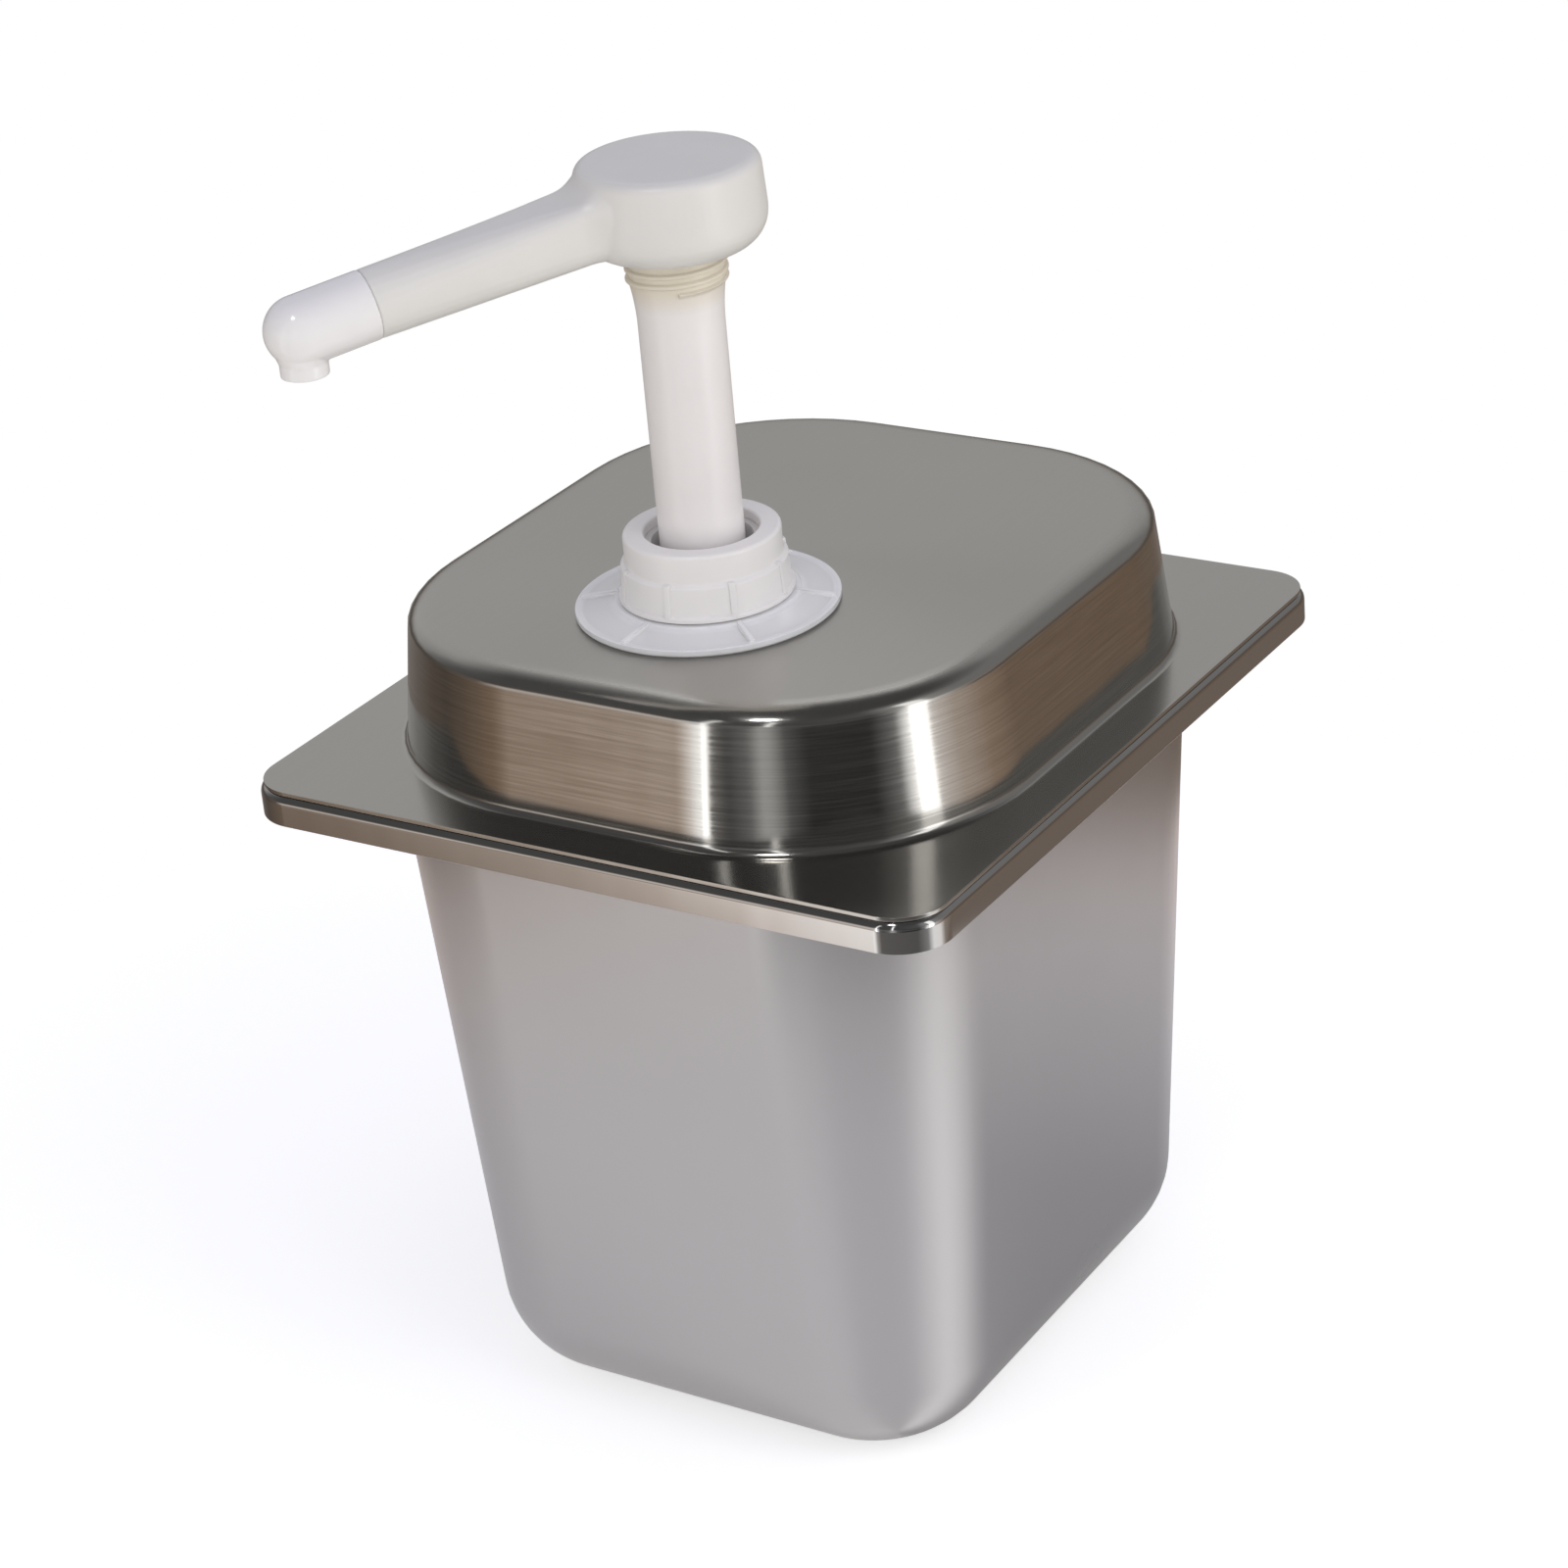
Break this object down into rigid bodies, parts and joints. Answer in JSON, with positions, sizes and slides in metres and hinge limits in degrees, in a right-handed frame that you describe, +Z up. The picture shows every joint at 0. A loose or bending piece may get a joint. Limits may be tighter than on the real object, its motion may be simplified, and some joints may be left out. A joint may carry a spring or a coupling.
{
  "type": "syrup pump dispenser",
  "caption": "Deep steel food pan with a domed steel lid and a push-down syrup pump: swivelling head with a drooping spout, plunger stem, screw collar, pump cylinder and dip tube.",
  "frame": {"origin": "middle of the pan's flat base, on the surface that the pan stands on", "axes": "+Z up along the pump's stem, +X across the pan's short side, +Y along its long side; the pump stands towards -Y"},
  "size_m": [0.162, 0.1876, 0.2756],
  "materials": {
    "pan_steel": "fine brushed, satin",
    "lid_steel": "fine brushed, satin on top and brighter on the drawn wall",
    "white_plastic": "satin moulded polypropylene",
    "clear_plastic": "frosted, translucent",
    "seal_rubber": "matt",
    "spring_steel": "drawn stainless wire",
    "ball_steel": "polished ball"
  },
  "bodies": {
    "pan": {"pan": "pan_steel"},
    "lid_assembly": {"lid": "lid_steel", "mounting_plate": "clear_plastic", "lid_gasket": "seal_rubber", "lid_nut": "white_plastic", "collar": "white_plastic", "neck_gasket": "seal_rubber", "housing": "white_plastic", "stem_guide": "white_plastic", "stem_seal": "seal_rubber", "spring_seat": "white_plastic", "return_spring": "spring_steel", "dip_tube": "clear_plastic"},
    "piston_unit": {"piston": "white_plastic", "piston_ring": "seal_rubber"},
    "actuator": {"stem": "white_plastic", "head": "white_plastic", "nozzle_tip": "white_plastic", "outlet_ball_stop": "white_plastic"},
    "suction_ball": {"inlet_ball": "ball_steel"},
    "discharge_ball": {"outlet_ball": "ball_steel"}
  },
  "joints": [
    {"name": "lid_lift", "type": "slide", "parent": "pan", "child": "lid_assembly", "axis": [0, 0, 1], "range_m": [0, 0.16]},
    {"name": "pump_stroke", "type": "slide", "parent": "lid_assembly", "child": "piston_unit", "axis": [0, 0, -1], "range_m": [0, 0.0582], "stiffness_N_per_m": 400, "springref_m": -0.03, "deforming": ["return_spring"]},
    {"name": "head_swivel", "type": "hinge", "parent": "piston_unit", "child": "actuator", "pos_m": [0, -0.0294, 0.2568], "axis": [0, 0, 1], "continuous": true},
    {"name": "inlet_ball_lift", "type": "slide", "parent": "lid_assembly", "child": "suction_ball", "axis": [0, 0, 1], "range_m": [0, 0.003]},
    {"name": "outlet_ball_lift", "type": "slide", "parent": "piston_unit", "child": "discharge_ball", "axis": [0, 0, 1], "range_m": [0, 0.002]}
  ]
}
